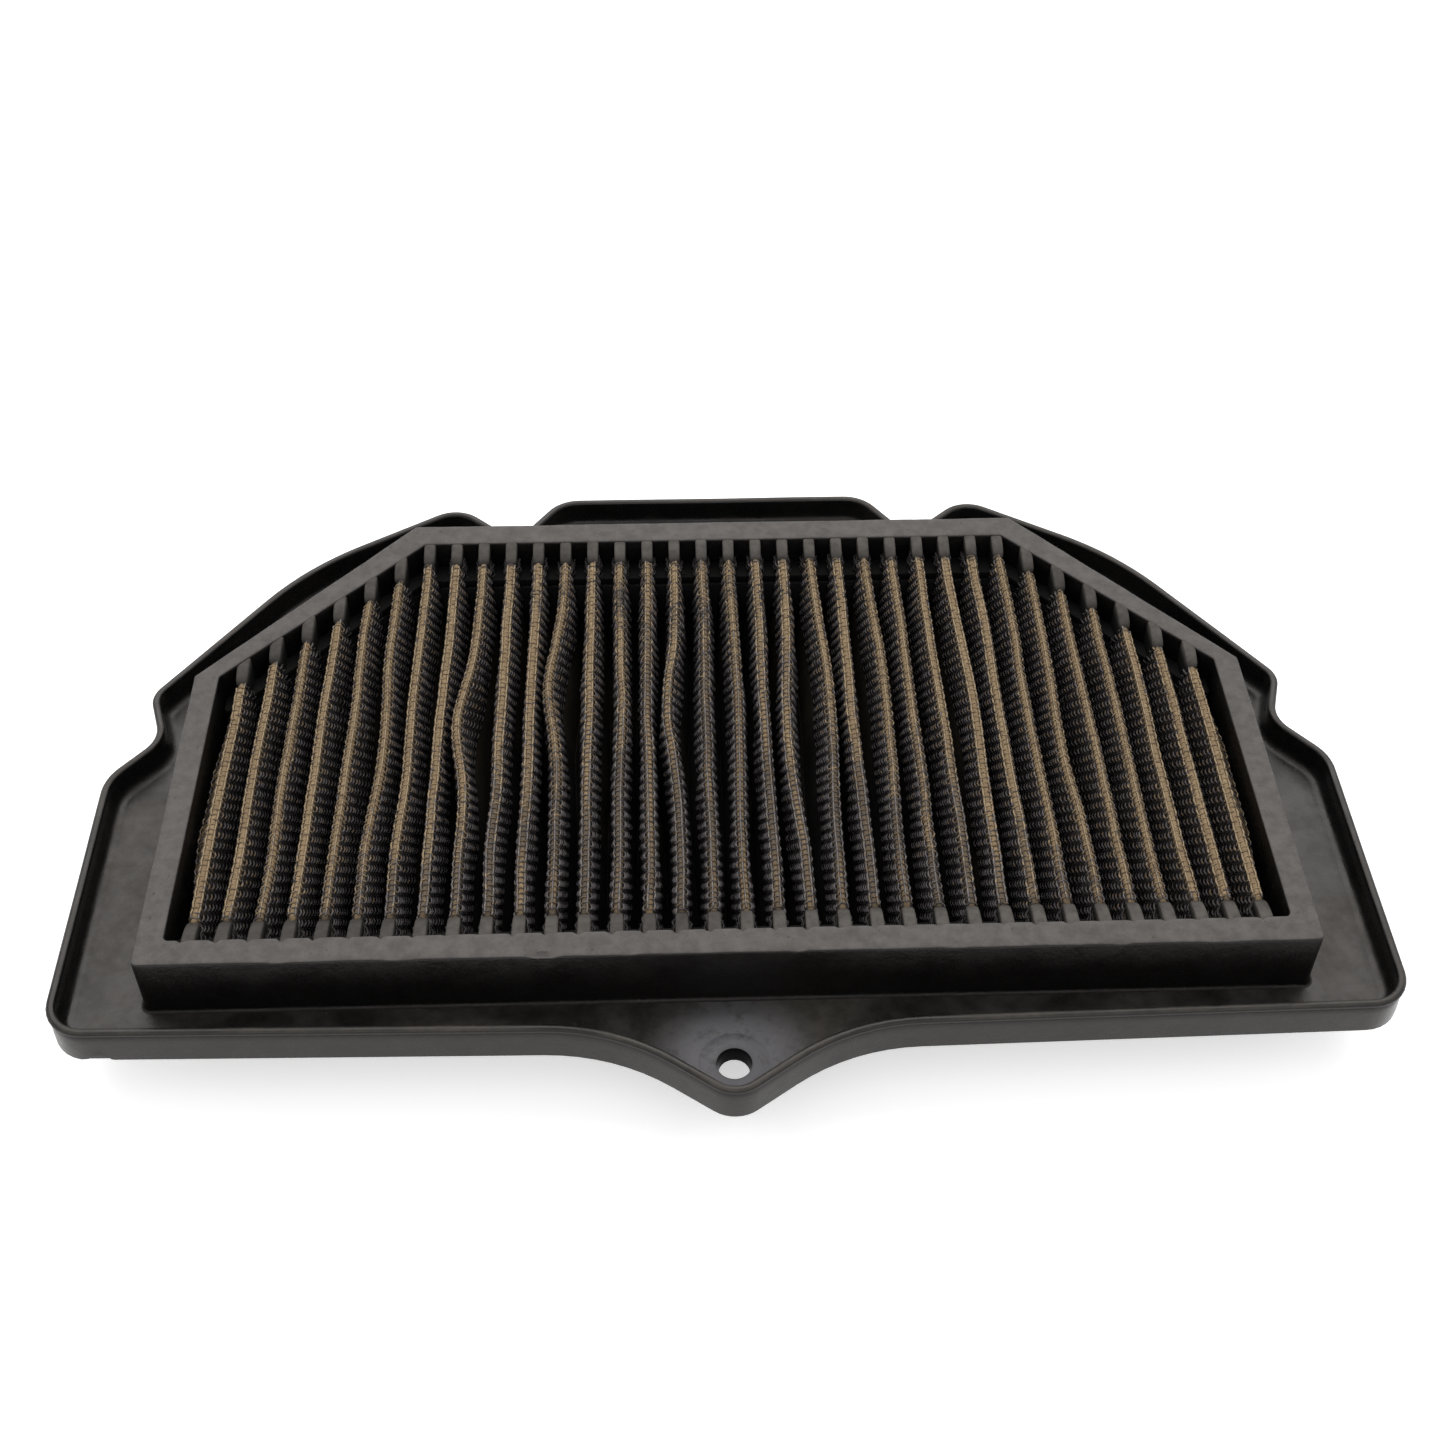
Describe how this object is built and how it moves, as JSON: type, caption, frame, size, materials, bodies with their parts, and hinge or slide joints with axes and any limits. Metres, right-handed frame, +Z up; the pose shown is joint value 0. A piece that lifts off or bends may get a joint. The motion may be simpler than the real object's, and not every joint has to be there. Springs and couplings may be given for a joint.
{
  "type": "panel air filter",
  "caption": "Pleated panel air filter element in a moulded flange tray with a single bolt tab, for a motorcycle airbox.",
  "frame": {"origin": "middle of the footprint, at the foot of the outlet collar, which is the lowest surface", "axes": "+Z up, from the clean side to the dusty side; +X across the width and the pleats; +Y along the pleats, from the bolt tab to the rear edge"},
  "size_m": [0.292, 0.1894, 0.034],
  "materials": {
    "flange_plastic": "black moulded plastic with a soft sheen, dusty floor, worn rim bead",
    "collar_plastic": "black moulded plastic, matte, grey-brown dust on the top face",
    "rib_plastic": "dark grey moulded plastic ribs",
    "dusty_screen": "coarse black woven screen with brown road dust on the crests",
    "clean_screen": "coarse black woven screen, clean side",
    "oiled_media": "oiled filter fabric, dark brown",
    "sealant": "black potting compound",
    "foam_rubber": "black closed-cell foam rubber, slightly porous"
  },
  "bodies": {
    "root": {"flange_tray": "flange_plastic", "inlet_collar": "collar_plastic", "outlet_collar": "collar_plastic", "flange_gasket": "foam_rubber", "inlet_screen": "dusty_screen", "filter_media": "oiled_media", "outlet_screen": "clean_screen", "inlet_front_comb": "rib_plastic", "outlet_front_comb": "rib_plastic", "front_end_seal": "sealant", "inlet_rear_comb": "rib_plastic", "outlet_rear_comb": "rib_plastic", "rear_end_seal": "sealant", "inlet_left_comb": "rib_plastic", "outlet_left_comb": "rib_plastic", "left_end_seal": "sealant", "inlet_right_comb": "rib_plastic", "outlet_right_comb": "rib_plastic", "right_end_seal": "sealant", "left_side_seal": "sealant", "right_side_seal": "sealant"}
  },
  "joints": []
}
